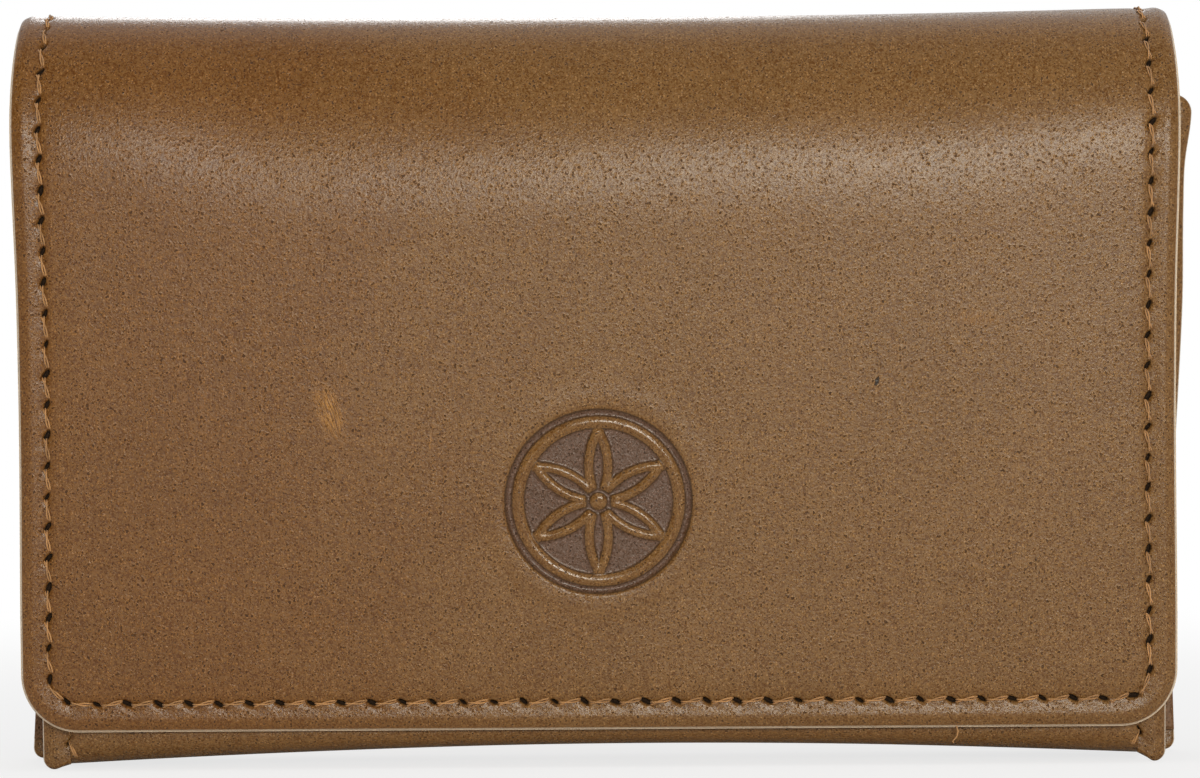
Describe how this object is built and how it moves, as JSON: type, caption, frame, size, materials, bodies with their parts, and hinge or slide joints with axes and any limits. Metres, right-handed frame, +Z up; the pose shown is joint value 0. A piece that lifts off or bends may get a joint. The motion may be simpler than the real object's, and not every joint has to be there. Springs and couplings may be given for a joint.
{
  "type": "leather flap case",
  "caption": "Soft leather pocket case with folding side gussets and a stitched flap that bends over the top and closes on hidden magnets.",
  "frame": {"origin": "on the surface that the case stands on, under the middle of the closed case", "axes": "+Z up, the flap hangs on the -Y side, +X to the right of someone who looks at the flap"},
  "size_m": [0.153, 0.035, 0.099],
  "materials": {
    "outer_leather": "pull-up tan leather, satin, fine pores",
    "gusset_leather": "softer tan leather, satin",
    "facing_leather": "thin tan leather, matt",
    "lining": "suede, napped",
    "board": "grey-brown stiffening board",
    "keeper_steel": "plain steel disc",
    "magnet": "nickel-plated magnet disc",
    "thread": "waxed two-strand sewing thread, tan"
  },
  "bodies": {
    "body": {"outer_wrap": "outer_leather", "left_gusset": "gusset_leather", "right_gusset": "gusset_leather", "pocket_lining": "lining", "left_gusset_lining": "lining", "right_gusset_lining": "lining", "left_gusset_facing": "facing_leather", "right_gusset_facing": "facing_leather", "front_facing": "facing_leather", "back_facing": "facing_leather", "front_board": "board", "back_board": "board", "base_board": "board", "left_keeper": "keeper_steel", "right_keeper": "keeper_steel"},
    "top": {"crown_leather": "outer_leather", "crown_lining": "facing_leather"},
    "flap": {"flap_leather": "outer_leather", "flap_lining": "facing_leather", "flap_board": "board", "left_magnet": "magnet", "right_magnet": "magnet"}
  },
  "joints": [
    {"name": "top_fold", "type": "hinge", "parent": "body", "child": "top", "pos_m": [0, 0.01281, 0.09431], "axis": [-1, 0, 0], "range_deg": [0, 110]},
    {"name": "flap_fold", "type": "hinge", "parent": "top", "child": "flap", "pos_m": [0, -0.01281, 0.09431], "axis": [-1, 0, 0], "range_deg": [0, 110]}
  ]
}
